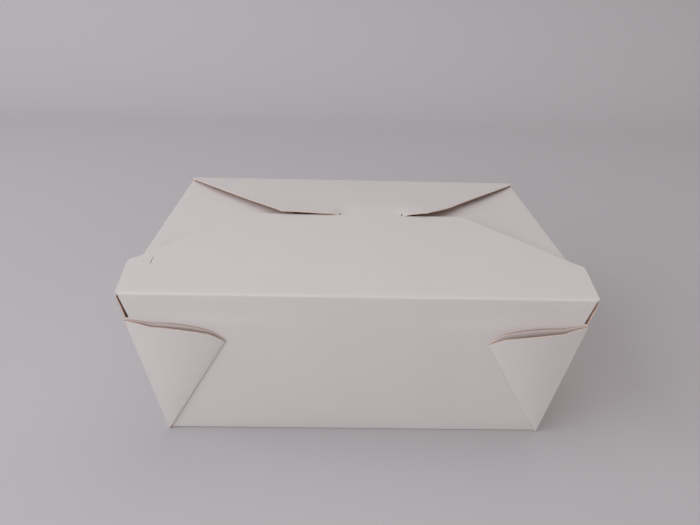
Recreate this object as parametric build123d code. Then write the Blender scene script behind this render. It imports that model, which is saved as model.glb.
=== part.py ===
from build123d import *
from math import atan, cos, hypot, pi, sin
import os

os.makedirs("parts", exist_ok=True)

# A folded take-out food box in one sheet of card. Millimetres, +Z up, the front towards -Y.
# The origin is the centre of the flat base.

# Overall size, over the outer faces
rim_length = 222.0  # along X, at the creases of the lid flaps
rim_width = 165.0  # along Y, at the creases of the lid flaps
base_length = 197.0
base_width = 140.0
height = 89.0  # from the base to the creases of the front and back flaps
board = 0.5  # thickness of the card
crown = 6.0  # how far the lid rises from its creases to the middle

# Corner gussets: the web between two walls, folded double and laid on the long wall
gusset_top = 75.5  # up the slope of the wall, at the corner
gusset_fold = 72.0  # length of the folded edge, from the base corner to its tip
gusset_bend = (26.0, 69.0)  # where the cut top edge turns down: in from the base corner, and up
pocket_gap = 2.0  # how far the outer layer stands off the inner one at that bend
pocket_share = 0.92  # share of the gusset that is loose, not folded or glued
slot_foot = 1.6  # width of the corner slot above the gusset
slot_head = 0.4  # its width at the rim

# Front lid flap
front_edge_y = 2.0  # the free edge, just behind the middle
front_edge_half = 61.0
ear_point = (114.0, -52.0)  # the ears reach past the end walls
ear_root = (109.0, -48.5)
ear_radius = 2.0
nick_place = (-102.0, -52.5)  # a short cut near the left ear
nick_length = 7.5
nick_width = 0.4

# End lid flaps, folded in first
end_rim_drop = 1.0  # their creases lie lower, so that they pass under the front and back flaps
end_flap_length = 75.0
end_flap_rise = 1.5
end_flap_taper = 16.0  # how far each side edge comes in along the flap
end_flap_gap = 0.6  # from the long walls
end_flap_radius = 8.0

# Back lid flap, which locks the lid with its tongue
root_gap = 0.5  # from the end of the crease to the end of the flap
crease_gap = 0.3  # from the flap to the top of the back wall
cheek = 4.5  # length of the flap's straight side, before it slopes in
shoulder_half = 42.5
shoulder_y = 1.5  # the shoulders just lap the edge of the front flap
lap_gap = 0.4  # from the front flap to a shoulder above it, and to the tongue below it
neck_half = 26.5
slit_width = 0.8
slit_length = 6.0
tongue_length = 22.0  # past the edge of the front flap
tongue_radius = 12.0
hinge_y = rim_width / 2 - board / 2
hinge_z = height - board / 2

# Worked out from the sizes above
lean_x = (rim_length - base_length) / 2
lean_y = (rim_width - base_width) / 2
long_slope = hypot(height, lean_y)  # height of a long wall, along its own slope
end_slope = hypot(height, lean_x)
long_spread = atan(lean_x / long_slope)  # how far a long wall's side edge turns outwards
end_spread = atan(lean_y / end_slope)
half_web = (pi / 2 - long_spread - end_spread) / 2
end_rim_z = height - end_rim_drop


def half_length(z):
    """Half the length over the end walls at a height."""
    return base_length / 2 + lean_x * z / height


def half_width(z):
    """Half the width over the long walls at a height."""
    return base_width / 2 + lean_y * z / height


def tapered_block(bottom, top, inset_x, inset_y):
    """The space inside the walls between two heights, with its sides moved in."""
    ends = []
    for z in (bottom, top):
        ends.append(Pos(0, 0, z) * Rectangle(2 * (half_length(z) - inset_x), 2 * (half_width(z) - inset_y)))
    return loft(ends, ruled=True)


def four_corners(piece):
    """A piece and its mirror images at the other three corners."""
    pair = piece + mirror(piece, about=Plane.YZ)
    return pair + mirror(pair, about=Plane.XZ)


def plan_block(points, round_at=(), radius=0.0):
    """An upright block on a plan outline: the points for +X, then their mirror images."""
    mirrored = [(-x, y) for x, y in reversed(points)]
    face = make_face(Polyline(*points, *mirrored, close=True))
    corners = [v for v in face.vertices() if (abs(round(v.X, 6)), round(v.Y, 6)) in round_at]
    if corners:
        face = fillet(corners, radius)
    return extrude(face, amount=2 * height)


def lid_sheet(points):
    """Card under a line of (y, z) points, running the whole length of the lid."""
    under = [(y, z - board) for y, z in reversed(points)]
    profile = Plane.YZ * make_face(Polyline(*points, *under, close=True))
    return extrude(profile, amount=rim_length, both=True)


# The left end of the front wall: X in from the base corner, Y up the slope, Z out of the face
front_wall = Plane(origin=(-base_length / 2, -base_width / 2, 0), x_dir=(1, 0, 0), z_dir=(0, -height, -lean_y))


def on_front_wall(u, v, out):
    """A point given by its place on the front wall and its distance out of it."""
    return front_wall.from_local_coords((u, v, out))


def make_tray():
    """Base and four walls."""
    outside = tapered_block(0, height, 0, 0)
    inside = tapered_block(board, 1.1 * height, board * end_slope / height, board * long_slope / height)
    return outside - inside


def gusset_outline():
    """Base corner, top at the corner, bend of the top edge and tip of the fold."""
    fold_turn = half_web - long_spread
    corner = (-gusset_top * sin(long_spread), gusset_top * cos(long_spread))
    tip = (gusset_fold * sin(fold_turn), gusset_fold * cos(fold_turn))
    return [(0.0, 0.0), corner, gusset_bend, tip]


def make_gusset():
    """The two layers of the front left gusset, with the open pocket between them."""
    outline = gusset_outline()
    inner_layer = extrude(front_wall * make_face(Polyline(*outline, close=True)), amount=board)

    tent = [on_front_wall(u, v, board) for u, v in outline]
    tent += [on_front_wall(u, v, 2 * board) for u, v in outline]
    tent.append(on_front_wall(*gusset_bend, 2 * board + pocket_gap))

    bend_u, bend_v = gusset_bend
    past_edge = gusset_top - bend_v
    pocket = [on_front_wall(bend_u, bend_v, board + pocket_gap)]
    pocket.append(on_front_wall(bend_u, bend_v + past_edge, board + pocket_gap))
    for u, v in outline:
        loose_u = bend_u + pocket_share * (u - bend_u)
        loose_v = bend_v + pocket_share * (v - bend_v)
        pocket.append(on_front_wall(loose_u, loose_v, board))
        if v > 0:
            pocket.append(on_front_wall(loose_u, loose_v + past_edge, board))

    outer_layer = ConvexPolyhedron(tent) - ConvexPolyhedron(pocket)
    below_base = Pos(0, 0, -height / 2) * Box(2 * rim_length, 2 * rim_width, height)
    return inner_layer + outer_layer - below_base


def make_corner_slot():
    """The slot beside the front left corner, from the top of the gusset to the rim."""
    outline = []
    for v, width in ((gusset_top, slot_foot), (1.1 * long_slope, slot_head)):
        edge_u = -v * sin(long_spread) / cos(long_spread)
        outline += [(edge_u + board, v), (edge_u + board + width, v)]
    outline[2:] = reversed(outline[2:])
    return extrude(front_wall * make_face(Polyline(*outline, close=True)), amount=2 * board, both=True)


def make_front_flap():
    """Front lid flap, with its two ears and the nick beside the left one."""
    outline = [(rim_length / 2, -rim_width / 2), ear_point, ear_root, (front_edge_half, front_edge_y)]
    sheet = lid_sheet([(-rim_width / 2, height), (front_edge_y, height + crown)])
    nick = Pos(*nick_place, height) * Box(nick_width, nick_length, height)
    return sheet & plan_block(outline, (ear_point, ear_root), ear_radius) - nick


def make_end_flap():
    """Right-hand end lid flap."""
    root_x = half_length(end_rim_z)
    tip_x = root_x - end_flap_length
    line = [(root_x, end_rim_z), (tip_x, end_rim_z + end_flap_rise)]
    under = [(x, z - board) for x, z in reversed(line)]
    sheet = extrude(Plane.XZ * make_face(Polyline(*line, *under, close=True)), amount=rim_width, both=True)
    root_half = half_width(end_rim_z) - board * long_slope / height - end_flap_gap
    tip_half = root_half - end_flap_taper
    outline = [(root_x, -root_half), (tip_x, -tip_half), (tip_x, tip_half), (root_x, root_half)]
    face = make_face(Polyline(*outline, close=True))
    face = fillet(face.vertices().sort_by(Axis.X)[:2], end_flap_radius)
    return sheet & extrude(face, amount=2 * height)


def make_carton():
    """Tray, gussets, front flap and end flaps: one folded sheet."""
    tray = make_tray() - four_corners(make_corner_slot())
    above_end_rim = Pos(0, board / 2, end_rim_z + height / 2) * Box(2 * rim_length, rim_width - 3 * board, height)
    tray -= above_end_rim
    above_back_rim = Box(2 * rim_length, 4 * board, height)
    tray -= Pos(0, rim_width / 2, height - board - crease_gap + height / 2) * above_back_rim
    end_flap = make_end_flap()
    return tray + four_corners(make_gusset()) + make_front_flap() + end_flap + mirror(end_flap, about=Plane.YZ)


def make_back_flap():
    """Back lid flap: shoulders over the front flap and a tongue under it."""
    root_half = rim_length / 2 - root_gap
    cheek_y = hinge_y - cheek
    slit_y = shoulder_y + slit_length
    slit_half = neck_half + slit_width
    shoulder_z = height + crown + lap_gap + board
    slit_z = shoulder_z + (height - shoulder_z) * slit_length / (hinge_y - shoulder_y)
    outline = [(root_half, hinge_y), (root_half, cheek_y), (shoulder_half, shoulder_y)]
    outline += [(slit_half, shoulder_y), (slit_half, slit_y)]
    flap = lid_sheet([(hinge_y, height), (shoulder_y, shoulder_z)]) & plan_block(outline)

    front_slope = crown / (rim_width / 2 + front_edge_y)
    tuck_y = front_edge_y + board
    tuck_z = height + crown - board - lap_gap
    tip_y = front_edge_y - tongue_length
    tip_z = tuck_z - front_slope * (tuck_y - tip_y)
    line = [(slit_y, slit_z), (tuck_y, tuck_z), (tip_y, tip_z)]
    tongue_outline = [(neck_half, slit_y), (neck_half, tip_y)]
    tongue = lid_sheet(line) & plan_block(tongue_outline, ((neck_half, tip_y),), tongue_radius)

    crease = Pos(0, hinge_y, hinge_z) * Rot(0, 90, 0) * Cylinder(board / 2, 2 * root_half)
    return flap + tongue + crease


export_step(make_carton(), "parts/carton.step")
export_step(make_back_flap(), "parts/back_flap.step")
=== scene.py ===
# %% [markdown]
# # A folded take-out box in white coated card
# The box is one sheet of card, creased and folded. It could be built as boxes, one for each panel, but then
# every crease would be a seam. So each panel is a grid of faces on the outer surface of the card, and the
# thickness is added to the whole sheet at the end. The frame gives the two bodies: the carton, and the back
# lid flap that turns on its crease.

# %% Load the frame
from math import cos, exp, hypot, pi, radians, sin

import bmesh
import bpy
from mathutils import Matrix, Vector


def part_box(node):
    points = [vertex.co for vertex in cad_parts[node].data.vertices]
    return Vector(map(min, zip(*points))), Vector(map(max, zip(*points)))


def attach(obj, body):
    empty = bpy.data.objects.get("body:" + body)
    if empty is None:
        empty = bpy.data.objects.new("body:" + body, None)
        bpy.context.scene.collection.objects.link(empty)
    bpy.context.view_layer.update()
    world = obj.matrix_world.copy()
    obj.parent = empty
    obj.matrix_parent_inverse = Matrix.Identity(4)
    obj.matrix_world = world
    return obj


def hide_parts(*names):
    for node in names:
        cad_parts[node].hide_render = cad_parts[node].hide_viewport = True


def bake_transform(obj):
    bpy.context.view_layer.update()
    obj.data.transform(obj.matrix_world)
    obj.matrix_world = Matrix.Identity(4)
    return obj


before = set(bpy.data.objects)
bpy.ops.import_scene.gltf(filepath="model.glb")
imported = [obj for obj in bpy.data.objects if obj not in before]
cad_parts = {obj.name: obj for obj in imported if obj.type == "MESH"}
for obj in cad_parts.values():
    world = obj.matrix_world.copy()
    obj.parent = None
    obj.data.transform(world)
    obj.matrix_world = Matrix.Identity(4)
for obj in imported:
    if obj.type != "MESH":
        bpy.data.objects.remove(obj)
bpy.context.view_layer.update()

# %% [markdown]
# ## Sizes
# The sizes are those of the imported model, in millimetres. The rim, the height and the crown of the lid come
# from the frame's boxes. The others are sizes that a die maker would put on the drawing of the sheet.

# %% Driving sizes
MM = 0.001
BOARD = 0.5
carton_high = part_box("carton")[1] / MM
flap_low, flap_high = (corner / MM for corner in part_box("back_flap"))

FLAP_END_GAP = 0.5  # from the end of the back crease to the end of its flap
RIM_HALF_X = flap_high.x + FLAP_END_GAP
RIM_HALF_Y = flap_high.y
BASE_HALF_X, BASE_HALF_Y = 98.5, 70.0
HEIGHT = flap_low.z + BOARD
CROWN = carton_high.z - HEIGHT
LEAN_X = RIM_HALF_X - BASE_HALF_X
LEAN_Y = RIM_HALF_Y - BASE_HALF_Y
LONG_SLOPE = hypot(HEIGHT, LEAN_Y)
CREASE_RADIUS = 1.1  # over the outside of a fold
GRID_STEP = 6.0  # longest stretch between two rows of a panel
print("rim", 2 * RIM_HALF_X, "x", 2 * RIM_HALF_Y, "height", HEIGHT, "crown", round(CROWN, 2))

# %% [markdown]
# ## Helpers for sheets of card
# A panel starts as a flat grid from `create_grid`. It runs from 0 to 1 both ways, and a place function sets
# each of its points on the panel, so outlines and gentle bows come from a few formulas. Extruding a profile
# would be shorter, but its sides would be straight. Points that panels share are merged at the end.

# %% Grid, path and curve helpers
def smooth(t):
    """Eases from 0 to 1."""
    t = min(max(t, 0.0), 1.0)
    return t * t * (3 - 2 * t)


def mix(a, b, t):
    """The value at share t of the way from a to b."""
    return a + (b - a) * t


def along(points, t):
    """The value at t in a list of (t, value) pairs, in straight steps."""
    for (t0, v0), (t1, v1) in zip(points, points[1:]):
        if t <= t1:
            return mix(v0, v1, (t - t0) / (t1 - t0) if t1 > t0 else 1.0)
    return points[-1][1]


def lay_grid(bm, across, up, place, outward):
    """Adds a grid of card whose points are set by place(s, t), facing the outward direction."""
    made = bmesh.ops.create_grid(bm, x_segments=across, y_segments=up, size=0.5)["verts"]
    for vert in made:
        vert.co = Vector(place(round(vert.co.x + 0.5, 6), round(vert.co.y + 0.5, 6))) * MM
    faces = list({face for vert in made for face in vert.link_faces})
    for face in faces:
        face.normal_update()
    facing = sum((face.normal * face.calc_area() for face in faces), Vector())
    if facing.dot(Vector(outward)) < 0:
        bmesh.ops.reverse_faces(bm, faces=faces)


def rounded_path(corners, radius, steps=6):
    """A path of flat points through the corners, with a round crease at each inner one."""
    path = [Vector(corners[0])]
    for before, corner, after in zip(corners, corners[1:], corners[2:]):
        before, corner, after = Vector(before), Vector(corner), Vector(after)
        into, out_of = (corner - before).normalized(), (after - corner).normalized()
        turn = into.angle(out_of)
        setback = radius * sin(turn / 2) / cos(turn / 2)
        for step in range(steps + 1):
            share = step / steps
            weight = sin(share * turn) / (sin(share * turn) + sin((1 - share) * turn))
            start, end = corner - into * setback, corner + out_of * setback
            chord = start.lerp(end, weight)
            centre = corner + (out_of - into).normalized() * (radius / cos(turn / 2))
            path.append(centre + (chord - centre).normalized() * radius)
    path.append(Vector(corners[-1]))
    return path


def dense(path, spacing):
    """The same path with points added on its long straight stretches."""
    out = [path[0]]
    for start, end in zip(path, path[1:]):
        pieces = max(1, round((end - start).length / spacing))
        out += [start.lerp(end, k / pieces) for k in range(1, pieces + 1)]
    return out


print("a right-angled crease has", len(rounded_path([(0, 0), (1, 0), (1, 1)], 0.1)), "points on its path")

# %% [markdown]
# ## The long strip: front flap, front wall, base and back wall
# These four panels follow each other down the sheet, so one grid runs through them all and the creases
# between them are round, as card folds. The front flap is a trapezium with two ears that reach past the end
# walls. Above a gusset each long wall stops a little short of the corner, which leaves an open slot.

# %% Long strip
EDGE_HALF, EDGE_Y = 61.0, 2.0  # the free edge of the front flap, just behind the middle
GUSSET_TOP = 75.5  # up the slope of the wall
SLOT_FOOT_Z = GUSSET_TOP * HEIGHT / LONG_SLOPE
SLOT_FOOT, SLOT_HEAD = 2.1, 0.9  # slot and end wall together, at the foot of the slot and at the rim
SEAM_Z = HEIGHT - 4.0  # above this the back wall belongs to the back flap's piece
LID_BOW = 0.9
WALL_BOW = 0.8

# Half widths of the front flap, from its crease to its free edge: out to the ear, round its tip and its
# root, and then in along the sloping side
FLAP_SIDE = [
    (-RIM_HALF_Y, RIM_HALF_X), (-60.0, 113.35), (-55.0, 113.75), (-53.2, 113.7), (-52.0, 113.2),
    (-51.0, 112.2), (-49.6, 110.0), (-48.6, 109.0), (-47.0, 107.5), (EDGE_Y, EDGE_HALF),
]


def wall_half_x(z):
    """Half the length of a long wall at a height: to the corner, or to the slot above the gusset."""
    corner = mix(BASE_HALF_X, RIM_HALF_X, z / HEIGHT)
    if z <= SLOT_FOOT_Z:
        return corner
    return corner - mix(SLOT_FOOT, SLOT_HEAD, (z - SLOT_FOOT_Z) / (HEIGHT - SLOT_FOOT_Z))


def front_plane_z(y):
    """Height of the front flap before it is bowed."""
    return HEIGHT + CROWN * (y + RIM_HALF_Y) / (EDGE_Y + RIM_HALF_Y)


def front_flap_z(x, y):
    """Outer surface of the front flap: a plane up to the middle of the lid, with a soft bow."""
    share = (y + RIM_HALF_Y) / (EDGE_Y + RIM_HALF_Y)
    bow = LID_BOW * sin(pi * min(share, 1.0)) * cos(0.5 * pi * min(abs(x) / RIM_HALF_X, 1.0))
    return front_plane_z(y) + bow


def long_strip(bm):
    """Lays the front flap, the front wall, the base and most of the back wall as one grid."""
    seam_y = mix(BASE_HALF_Y, RIM_HALF_Y, SEAM_Z / HEIGHT)
    corners = [(EDGE_Y, HEIGHT + CROWN), (-RIM_HALF_Y, HEIGHT)]
    corners += [(-BASE_HALF_Y, 0.0), (BASE_HALF_Y, 0.0), (seam_y, SEAM_Z)]
    path = rounded_path(corners, CREASE_RADIUS)
    # extra rows where the ears turn, and a close pair of rows at the foot of each corner slot
    path[1:1] = [Vector((y, front_plane_z(y))) for y, half in FLAP_SIDE[-2:0:-1]]
    for level in (SLOT_FOOT_Z - 0.01, SLOT_FOOT_Z + 0.01):
        crossed = []
        for start, end in zip(path, path[1:]):
            crossed.append(start)
            if (start.y - level) * (end.y - level) < 0:
                crossed.append(start.lerp(end, (level - start.y) / (end.y - start.y)))
        path = crossed + path[-1:]
    path = dense(path, GRID_STEP)
    last = len(path) - 1

    def place(s, t):
        y, z = path[round(t * last)]
        on_lid = z > HEIGHT - 0.25 and y > -RIM_HALF_Y + 0.3
        if on_lid:
            half = along(FLAP_SIDE, y)
        else:
            half = wall_half_x(min(z, HEIGHT))
        x = mix(-half, half, s)
        if on_lid:
            z += front_flap_z(x, y) - front_plane_z(y)
        elif z > 1.0:
            bow = WALL_BOW * sin(pi * z / HEIGHT) * cos(0.5 * pi * x / half) ** 2
            y += bow if y > 0 else -bow
        return x, y, z

    lay_grid(bm, 48, last, place, (0, 0, -1))


print("slot width from", SLOT_FOOT - BOARD, "to", SLOT_HEAD - BOARD)

# %% [markdown]
# ## A nick in the front flap
# There is a short thin cut in the flap beside its left ear, of the kind that a die's blade leaves. A dark
# line in the material would show no depth in it, so the faces are cut along the sides of the nick, and
# those inside it are taken out.

# %% Nick
NICK_X = (-102.25, -101.85)
NICK_Y = (-56.3, -48.9)
NICK_REACH = 14.0  # faces within this distance are cut


def cut_nick(bm):
    """Opens a short thin cut in the front flap, beside its left ear."""
    nick = Vector((-102, -52, HEIGHT)) * MM
    for axis, levels in enumerate((NICK_X, NICK_Y)):
        for level in levels:
            point = Vector((0, 0, 0))
            normal = Vector((0, 0, 0))
            point[axis] = level * MM
            normal[axis] = 1.0
            near = []
            for face in bm.faces:
                middle = face.calc_center_median()
                if middle.z > (HEIGHT + 0.3) * MM and (middle - nick).length < NICK_REACH * MM:
                    near.append(face)
            edges = {edge for face in near for edge in face.edges}
            verts = {vert for face in near for vert in face.verts}
            cut = [*verts, *edges, *near]
            bmesh.ops.bisect_plane(bm, geom=cut, plane_co=point, plane_no=normal, dist=1e-7)
    gone = []
    for face in bm.faces:
        x, y, z = face.calc_center_median() / MM
        if NICK_X[0] < x < NICK_X[1] and NICK_Y[0] < y < NICK_Y[1] and z > HEIGHT:
            gone.append(face)
    bmesh.ops.delete(bm, geom=gone, context="FACES")
    print("nick opened through", len(gone), "faces")


print("nick", round(NICK_Y[1] - NICK_Y[0], 1), "mm long and", round(NICK_X[1] - NICK_X[0], 1), "mm wide")

# %% [markdown]
# ## The ends: end wall and end flap
# Each end wall carries a lid flap that is folded in first, under the front and back flaps. They press its
# side edges down, and its middle springs up. A flat flap would leave a wide gap under the lid, so it is
# given a curve that grows towards its tip.

# %% End walls and end flaps
END_RIM_Z = HEIGHT - 1.0  # its crease lies lower, so that the flap passes under the others
END_FLAP_LENGTH = 75.0
END_FLAP_TAPER = 16.0  # how far each side edge comes in along the flap
END_FLAP_GAP = 1.4  # from the flap to the outside of a long wall
END_FLAP_RISE = 4.6  # of the middle of the tip
END_FLAP_PRESSED = 3.6  # how much less it is, PRESSED_AT from the middle
PRESSED_AT = 65.0
END_CORNER_RADIUS = 8.0
END_WALL_BOW = 0.6
BASE_LAP = 3.0  # the strip of base that goes with an end wall


def end_side(bm, side):
    """Lays an end wall and its lid flap as one grid."""
    rim_x = mix(BASE_HALF_X, RIM_HALF_X, END_RIM_Z / HEIGHT)
    tip_x = rim_x - END_FLAP_LENGTH
    corners = [(BASE_HALF_X - BASE_LAP, 0.0), (BASE_HALF_X, 0.0), (rim_x, END_RIM_Z), (tip_x, END_RIM_Z)]
    path = rounded_path(corners, CREASE_RADIUS)
    tip = path.pop()
    for k in range(6, 0, -1):
        path.append(tip + Vector((END_CORNER_RADIUS * (1 - cos(0.5 * pi * k / 6)), 0)))
    path = dense(path + [tip], GRID_STEP)
    last = len(path) - 1

    def place(s, t):
        x, z = path[round(t * last)]
        on_flap = z > END_RIM_Z - 0.3 and x < rim_x - 0.3
        if on_flap:
            inward = rim_x - x
            half = RIM_HALF_Y - END_FLAP_GAP - END_FLAP_TAPER * inward / END_FLAP_LENGTH
            near_tip = max(0.0, END_CORNER_RADIUS - (x - tip_x))
            half -= END_CORNER_RADIUS - max(END_CORNER_RADIUS ** 2 - near_tip ** 2, 0.0) ** 0.5
            y = mix(-half, half, s)
            rise = END_FLAP_RISE - END_FLAP_PRESSED * (y / PRESSED_AT) ** 2
            z += rise * smooth(inward / END_FLAP_LENGTH * 0.9 + 0.05)
        else:
            half = mix(BASE_HALF_Y, RIM_HALF_Y, z / HEIGHT)
            y = mix(-half, half, s)
            x += END_WALL_BOW * sin(pi * z / HEIGHT) * cos(0.5 * pi * y / half) ** 2
        return side * x, y, z

    lay_grid(bm, 36, last, place, (side, 0, 0.2))


print("end flaps reach to", round(RIM_HALF_X - END_FLAP_LENGTH), "mm from the middle")

# %% [markdown]
# ## Corner gussets
# The web of card between two walls is folded double and laid on the long wall. The inner layer is flat on
# the wall. The outer layer runs on from the end wall and springs off the inner one at its cut top edge,
# which leaves an open pocket. A block with a groove would not show two edges of card, so both layers are
# made. A fan-shaped grid suits them, because all the columns meet at the base corner.

# %% Gusset layers
CORNER_TURN = -LEAN_X / LONG_SLOPE  # angle of the corner edge from the wall's own upright, in radians
FOLD_TURN = radians(29.2)  # angle of the folded edge
FOLD_SHARE = 0.1  # share of the columns that turns the corner, and share that turns down at the fold
FOLD_WIDTH = 0.5
INNER_STANDS = 0.9  # how much higher the inner layer's edge shows
# Distance of the cut top edge from the base corner, over the share of the way from the corner to the fold
TOP_EDGE = [(0.0, 75.2), (0.24, 72.0), (0.5, 72.6), (0.83, 73.7), (1.0, 71.6)]
UP_WALL = Vector((0, -LEAN_Y, HEIGHT)) / LONG_SLOPE
OUT_OF_WALL = Vector((0, -HEIGHT, -LEAN_Y)) / LONG_SLOPE


def on_wall(u, v, out, side_x, side_y):
    """A point on a long wall: in from the base corner, up the slope, and out of the face."""
    point = Vector((-BASE_HALF_X + u, -BASE_HALF_Y, 0)) + UP_WALL * v + OUT_OF_WALL * out
    return Vector((-side_x * point.x, -side_y * point.y, max(point.z, 0.02)))


def gusset(bm, side_x, side_y, spring):
    """Both layers of one gusset. spring is how far its outer layer stands off at the top edge."""
    def outer(s, t):
        fan = min(max((s - FOLD_SHARE) / (1 - 2 * FOLD_SHARE), 0.0), 1.0)
        turn = mix(CORNER_TURN, FOLD_TURN, fan)
        reach = along(TOP_EDGE, fan) * t
        lift = spring * t ** 1.5 * sin(pi * fan ** 1.15) ** 0.8
        level = 2 * BOARD
        past_fold = 0.0
        if s < FOLD_SHARE:
            level = 2 * BOARD * sin(0.5 * pi * s / FOLD_SHARE)
        elif s > 1 - FOLD_SHARE:
            share = (s - (1 - FOLD_SHARE)) / FOLD_SHARE
            level = 2 * BOARD * cos(0.5 * pi * share)
            past_fold = FOLD_WIDTH * sin(0.5 * pi * share) * min(1.0, 4 * t)
        return on_wall(reach * sin(turn) + past_fold, reach * cos(turn), level + lift, side_x, side_y)

    def inner(s, t):
        turn = mix(CORNER_TURN, FOLD_TURN, s)
        reach = (along(TOP_EDGE, s) + INNER_STANDS * sin(pi * s)) * t
        lean = 0.25 * spring * smooth((t - 0.7) / 0.3) * sin(pi * s)
        return on_wall(reach * sin(turn), reach * cos(turn), BOARD + lean, side_x, side_y)

    facing = (0, side_y, -0.1)
    lay_grid(bm, 40, 20, outer, facing)
    lay_grid(bm, 24, 20, inner, facing)


# By side in x and side in y: hand-folded gussets never spring alike
GUSSET_SPRING = {(-1, -1): 2.4, (1, -1): 4.2, (-1, 1): 2.0, (1, 1): 2.8}
print("gusset tips are", round(BASE_HALF_X - TOP_EDGE[-1][1] * sin(FOLD_TURN), 1), "mm from the middle")

# %% [markdown]
# ## From a surface to card
# Solidify gives the sheet its half millimetre, inwards from the outer face, and puts the inside and the cut
# edges in materials of their own. Extruding the faces would do the same, but would not keep the thickness
# even round a crease. Edges that turn sharply are then marked, so that the cut edges shade as crisp card.

# %% Thickness and shading
def finish_sheet(name, bm, materials):
    """Makes the grids into one sheet of card with thickness, and returns its object."""
    sharp = radians(32)
    bmesh.ops.remove_doubles(bm, verts=bm.verts, dist=0.02 * MM)
    bmesh.ops.dissolve_degenerate(bm, edges=bm.edges, dist=0.001 * MM)
    flat = bpy.data.meshes.new(name)
    bm.to_mesh(flat)
    bm.free()
    piece = bpy.data.objects.new(name, flat)
    bpy.context.scene.collection.objects.link(piece)
    for material in materials:
        flat.materials.append(material)
    solid = piece.modifiers.new("board", "SOLIDIFY")
    solid.thickness = BOARD * MM
    solid.offset = -1
    solid.use_even_offset = True
    solid.thickness_clamp = 2.0
    solid.material_offset = 1
    solid.material_offset_rim = 2
    bpy.context.view_layer.update()
    evaluated = piece.evaluated_get(bpy.context.evaluated_depsgraph_get())
    mesh = bpy.data.meshes.new_from_object(evaluated)
    piece.modifiers.clear()
    piece.data = mesh
    mesh.name = name
    bm = bmesh.new()
    bm.from_mesh(mesh)
    for edge in bm.edges:
        edge.smooth = len(edge.link_faces) == 2 and edge.calc_face_angle(0.0) < sharp
    for face in bm.faces:
        face.smooth = True
    bm.to_mesh(mesh)
    bm.free()
    print(name, "has", sum(len(p.vertices) - 2 for p in mesh.polygons), "triangles")
    return piece


print("the card is", BOARD, "mm thick")

# %% [markdown]
# ## The card and its finish
# The board is bleached board with a clay coating: white, smooth, and matt to satin. The eye gets an even
# surface with a faint cloudiness, and fine fibres that show only in grazing light. The cut edges and the
# uncoated inside are warmer and duller, and their pink is pushed further as a painted warm glow that stands
# in for light bouncing in the gaps and shining through the card. One plain colour would look like plastic, so
# two close shades are mixed by soft noise, and a finer noise gives the fibres as bump and as changes of
# sheen.

# %% Material helpers
def linear(hex_colour):
    """An sRGB hex colour as linear red, green, blue and alpha."""
    out = []
    for k in (1, 3, 5):
        c = int(hex_colour[k:k + 2], 16) / 255
        out.append(c / 12.92 if c <= 0.04045 else ((c + 0.055) / 1.055) ** 2.4)
    return (*out, 1.0)


def add_node(tree, kind, settings=(), inputs=()):
    """Adds a node, sets its properties, and sets or links its inputs."""
    node = tree.nodes.new(kind)
    for key, value in dict(settings).items():
        setattr(node, key, value)
    for key, value in dict(inputs).items():
        if isinstance(value, bpy.types.NodeSocket):
            tree.links.new(value, node.inputs[key])
        else:
            node.inputs[key].default_value = value
    return node


def board_material(name, light, dark, roughness, fibre_mm, fibre_depth_mm, specular):
    """Paper board: two close shades in soft clouds, and fibres as a fine bump."""
    def noise(size_mm, detail):
        settings = {"Vector": place, "Scale": 1 / (size_mm * MM), "Detail": detail}
        return add_node(tree, "ShaderNodeTexNoise", (), settings).outputs["Fac"]

    material = bpy.data.materials.new(name)
    material.use_nodes = True
    tree = material.node_tree
    shader = tree.nodes["Principled BSDF"]
    place = add_node(tree, "ShaderNodeTexCoord").outputs["Object"]
    clouds = noise(28.0, 3.0)
    shades = {0: clouds, 6: linear(dark), 7: linear(light)}
    tint = add_node(tree, "ShaderNodeMix", {"data_type": "RGBA"}, shades)
    fibres = noise(fibre_mm, 4.0)
    waves = noise(9.0, 2.0)
    sum_up = {0: waves, 1: 3.0, 2: fibres}
    relief = add_node(tree, "ShaderNodeMath", {"operation": "MULTIPLY_ADD"}, sum_up)
    depth = {"Height": relief.outputs[0], "Distance": fibre_depth_mm * MM, "Strength": 0.6}
    bump = add_node(tree, "ShaderNodeBump", (), depth)
    spread = {"Value": fibres, "To Min": roughness - 0.05, "To Max": roughness + 0.06}
    sheen = add_node(tree, "ShaderNodeMapRange", (), spread)
    tree.links.new(tint.outputs[2], shader.inputs["Base Color"])
    tree.links.new(sheen.outputs[0], shader.inputs["Roughness"])
    tree.links.new(bump.outputs[0], shader.inputs["Normal"])
    shader.inputs["IOR"].default_value = 1.5
    shader.inputs["Specular IOR Level"].default_value = specular
    return material


print("a helper each for colours, nodes and board")

# %% [markdown]
# ## Three finishes of one board
# The coating fills the fibres, so the face is the smoothest and has a slight sheen. The inside is the same
# board without its coating, its colour partly its own warmth and partly painted warm glow of the shade in the
# gaps. The cut edge is the coarsest, because the die crushes and tears the fibres, and its pink is partly
# painted glow of light shining through the card.

# %% Coated face, uncoated inside and cut edge
coated_face = board_material(
    "clay_coated_board_face", light="#DAD5D2", dark="#D6D1CE",
    roughness=0.52, fibre_mm=0.5, fibre_depth_mm=0.006, specular=0.4)
# Inside colour: the uncoated board's own warmth, with extra pink as painted warm glow of the shade in the
# gaps.
inside_face_painted_glow = board_material(
    "uncoated_board_inside_painted_glow", light="#DBB8A6", dark="#D3AE9B",
    roughness=0.85, fibre_mm=0.7, fibre_depth_mm=0.02, specular=0.2)
# Cut edge colour: the crushed fibre's own warmth, with extra pink as painted glow of light shining through
# the card.
cut_edge_painted_glow = board_material(
    "die_cut_board_edge_painted_glow", light="#E0C8BA", dark="#D2B5A5",
    roughness=0.9, fibre_mm=0.3, fibre_depth_mm=0.03, specular=0.2)
CARD = (coated_face, inside_face_painted_glow, cut_edge_painted_glow)
print("materials:", [m.name for m in CARD])

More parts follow.
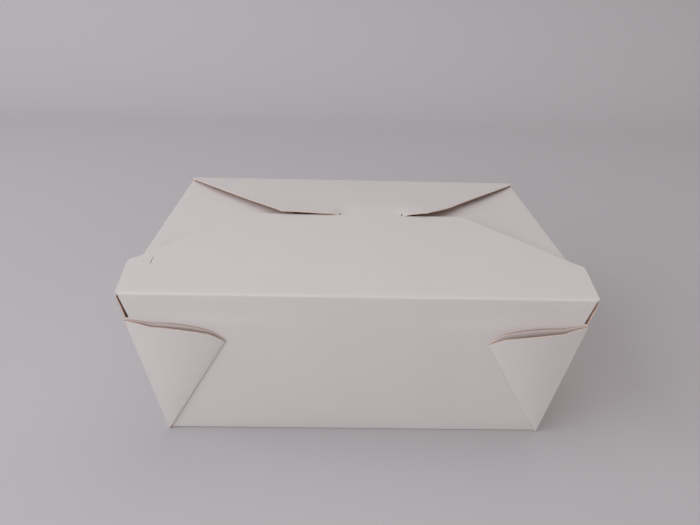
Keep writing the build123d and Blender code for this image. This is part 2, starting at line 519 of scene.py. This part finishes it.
# %% [markdown]
# ## Put the carton together
# The panels go into one mesh, because the real ones are one sheet. Separate objects would show a seam at
# each corner.

# %% Carton
sheet = bmesh.new()
long_strip(sheet)
cut_nick(sheet)
for side in (-1, 1):
    end_side(sheet, side)
for (side_x, side_y), spring in GUSSET_SPRING.items():
    gusset(sheet, side_x, side_y, spring)
carton = finish_sheet("carton_sheet", sheet, CARD)
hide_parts("carton")
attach(carton, "carton")

# %% [markdown]
# ## The back flap, which locks the lid
# Its shoulders lie over the edge of the front flap and its tongue dips under it. The crease that joins it
# to the back wall is part of this piece, together with the top of that wall.

# %% Back flap
SHOULDER_HALF, SHOULDER_Y = 42.5, 1.5
NECK = {-1: 9.0, 1: 26.5}  # half widths of the tongue, left and right of the middle
SLIT = 0.5
SLIT_Y = SHOULDER_Y + 4.0
TONGUE_LENGTH, TONGUE_RADIUS = 22.0, 12.0
CHEEK_Y = RIM_HALF_Y - 4.5  # the flap's sides are straight up to here
SHOULDER_LIFT = {-1: 1.2, 1: 1.5}  # how far each shoulder stands up
FLAP_BOW = 0.7
LAP_GAP = 0.35  # from the front flap to the shoulders above it and to the tongue below
SHOULDER_Z = HEIGHT + CROWN + BOARD + LAP_GAP
FLAP_HALF = RIM_HALF_X - FLAP_END_GAP
FLAP_ROWS = 22
LIFT_FROM_Y = 34.0
DIP_FROM_Y = 22.0
DIP_END_Y = EDGE_Y + 0.6


def flap_side(y, side):
    """Half width of the back flap, whose right side runs into its shoulder in a soft S."""
    half = along([(SHOULDER_Y, SHOULDER_HALF), (CHEEK_Y, FLAP_HALF), (RIM_HALF_Y, FLAP_HALF)], y)
    if side > 0:
        half += 2.2 * exp(-((y - 14.0) / 9.0) ** 2) - 1.5 * exp(-((y - 1.5) / 4.0) ** 2)
    return half


def back_plane_z(y):
    """Height of the back flap before it is bowed."""
    return mix(SHOULDER_Z, HEIGHT, (y - SHOULDER_Y) / (RIM_HALF_Y - SHOULDER_Y))


def under_front_z(y):
    """Outer face of the tongue, just under the front flap."""
    return front_flap_z(0, min(y, EDGE_Y)) - BOARD - LAP_GAP


def back_flap_z(x, y):
    """The flap's outer surface: it rises to its shoulders, and its middle dips under the front flap."""
    side = 1 if x > 0 else -1
    neck = NECK[side]
    back_share = min(max((RIM_HALF_Y - y) / RIM_HALF_Y, 0.0), 1.0)
    bow = FLAP_BOW * sin(pi * back_share) * cos(0.5 * pi * min(abs(x) / RIM_HALF_X, 1))
    outer = smooth((abs(x) - neck) / (SHOULDER_HALF - neck))
    near = smooth((LIFT_FROM_Y - y) / LIFT_FROM_Y)
    z = back_plane_z(y) + bow + SHOULDER_LIFT[side] * outer * near
    free = smooth((SLIT_Y - y) / 2.0) if abs(x) <= neck + 0.01 else 0.0
    middle = mix(1 - smooth((abs(x) - neck + 3.0) / 8.0), 1.0, free)
    dip = smooth((DIP_FROM_Y - y) / (DIP_FROM_Y - DIP_END_Y))
    return mix(z, min(z, under_front_z(y)), dip * middle)


def back_flap_sheet():
    """The top of the back wall, the crease, and the flap with its shoulders and its tongue."""
    bm = bmesh.new()
    seam_y = mix(BASE_HALF_Y, RIM_HALF_Y, SEAM_Z / HEIGHT)
    corners = [(seam_y, SEAM_Z), (RIM_HALF_Y, HEIGHT), (CHEEK_Y, back_plane_z(CHEEK_Y))]
    path = rounded_path(corners, CREASE_RADIUS, 10)
    for k in range(1, FLAP_ROWS + 1):
        y = CHEEK_Y - k * (CHEEK_Y - SLIT_Y) / FLAP_ROWS
        path.append(Vector((y, back_plane_z(y))))
    last = len(path) - 1

    def placed(x, y, z):
        if y < RIM_HALF_Y - 2.5:
            z = back_flap_z(x, y)
        return x, y, z

    def side_x(y, z, side):
        on_flap = z > HEIGHT - 0.4 or y < CHEEK_Y
        return flap_side(y, side) if on_flap else wall_half_x(min(z, HEIGHT))

    for side in (-1, 1):
        def wing(s, t):
            y, z = path[round(t * last)]
            return placed(side * mix(NECK[side] + SLIT, side_x(y, z, side), s), y, z)

        def slit(s, t):
            y, z = path[round(t * last)]
            return placed(side * mix(NECK[side], NECK[side] + SLIT, s), y, z)

        def shoulder(s, t):
            y = mix(SLIT_Y, SHOULDER_Y, t)
            return placed(side * mix(NECK[side] + SLIT, flap_side(y, side), s), y, 0.0)

        lay_grid(bm, 20, last, wing, (0, 0.3, 1))
        lay_grid(bm, 1, last, slit, (0, 0.3, 1))
        lay_grid(bm, 20, 4, shoulder, (0, 0, 1))

    def middle(s, t):
        y, z = path[round(t * last)]
        return placed(mix(-NECK[-1], NECK[1], s), y, z)

    def tongue(s, t):
        y = mix(SLIT_Y, EDGE_Y - TONGUE_LENGTH, t)
        from_tip = y - (EDGE_Y - TONGUE_LENGTH)
        short = max(0.0, TONGUE_RADIUS - from_tip)
        cut_back = TONGUE_RADIUS - max(TONGUE_RADIUS ** 2 - short ** 2, 0.0) ** 0.5
        cut_back = min(cut_back, NECK[-1] - 1.0)
        return placed(mix(cut_back - NECK[-1], NECK[1] - cut_back, s), y, 0.0)

    lay_grid(bm, 20, last, middle, (0, 0.3, 1))
    lay_grid(bm, 20, 24, tongue, (0, 0, 1))
    return bm


back_flap = finish_sheet("back_flap_sheet", back_flap_sheet(), CARD)
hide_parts("back_flap")
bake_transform(back_flap)

# %% [markdown]
# ## Floor, light and camera
# The box stands on a plain pale floor that curves up into a backdrop, so that no horizon line crosses the
# view. A large soft lamp on the left and an even world light it, at a level where a colour renders about as
# it is written. Small hard lamps would make dark shadows that a white box in a room does not have.

# %% Floor and backdrop
floor_mesh = bmesh.new()
sweep = rounded_path([(-1500, 0), (900, 0), (900, 1500)], 300, 16)
sweep_last = len(sweep) - 1


def floor_place(s, t):
    """A point of the floor: left to right by s, and back along the sweep by t."""
    y, z = sweep[round(t * sweep_last)]
    return mix(-2500, 2500, s), y, z


lay_grid(floor_mesh, 1, sweep_last, floor_place, (0, -0.3, 1))
floor_data = bpy.data.meshes.new("studio_floor")
floor_mesh.to_mesh(floor_data)
floor_mesh.free()
for polygon in floor_data.polygons:
    polygon.use_smooth = True
floor = bpy.data.objects.new("studio_floor", floor_data)
bpy.context.scene.collection.objects.link(floor)
floor_paint = bpy.data.materials.new("matt_painted_studio_floor")
floor_paint.use_nodes = True
paint_shader = floor_paint.node_tree.nodes["Principled BSDF"]
paint_shader.inputs["Base Color"].default_value = linear("#C2BFC1")
paint_shader.inputs["Roughness"].default_value = 0.7
floor_data.materials.append(floor_paint)
print("floor sweep has", len(sweep), "points")

# %% Lamps and world
def area_lamp(name, position, size, power, colour):
    """A square soft lamp that looks at the box."""
    data = bpy.data.lights.new(name, "AREA")
    data.size = size
    data.energy = power
    data.color = linear(colour)[:3]
    lamp = bpy.data.objects.new(name, data)
    lamp.location = position
    lamp.rotation_mode = "QUATERNION"
    to_box = Vector((0, 0, 0.05)) - Vector(position)
    lamp.rotation_quaternion = to_box.to_track_quat("-Z", "Y")
    bpy.context.scene.collection.objects.link(lamp)


area_lamp("window_left", (-1.1, -0.35, 0.9), 1.0, 7.0, "#F6F8FF")
area_lamp("ceiling_fill", (0.3, 0.4, 1.6), 1.6, 5.5, "#FFF8F2")
area_lamp("front_left_fill", (-1.0, -1.0, 0.35), 0.7, 6.0, "#F8FAFF")
area_lamp("warm_right_fill", (0.9, -0.9, 0.3), 0.7, 1.2, "#FFE0CC")
world = bpy.data.worlds.new("even_room_light")
world.use_nodes = True
background = world.node_tree.nodes["Background"]
background.inputs["Color"].default_value = linear("#EDEBEE")
background.inputs["Strength"].default_value = 0.5
bpy.context.scene.world = world
bpy.context.scene.view_settings.view_transform = "Standard"
print("lamps:", sorted(lamp.name for lamp in bpy.data.lights))

# %% [markdown]
# ## Camera
# The camera stands close in front of the box and looks down on it, a little from the left and rolled by
# less than two degrees, as a hand-held one is. Its place and angles are given, and its axes are worked
# out from the angles.

# %% Camera
CAMERA_PLACE = Vector((-11.3, -322.7, 225.5)) * MM
YAW, PITCH, ROLL = radians(1.53), radians(26.38), radians(1.65)
ahead = Vector((sin(YAW) * cos(PITCH), cos(YAW) * cos(PITCH), -sin(PITCH)))
right = Vector((cos(YAW), -sin(YAW), 0))
above = right.cross(ahead)
level_right = right * cos(ROLL) + above * sin(ROLL)
level_up = above * cos(ROLL) - right * sin(ROLL)
camera_data = bpy.data.cameras.new("camera")
camera_data.sensor_width = 36.0
camera_data.lens = 31.13
camera_data.clip_start = 0.01
camera = bpy.data.objects.new("camera", camera_data)
turn = Matrix((level_right, level_up, -ahead)).transposed()
camera.matrix_world = Matrix.Translation(CAMERA_PLACE) @ turn.to_4x4()
bpy.context.scene.collection.objects.link(camera)
bpy.context.scene.camera = camera
print("camera", round(CAMERA_PLACE.length, 3), "m from the middle of the base")
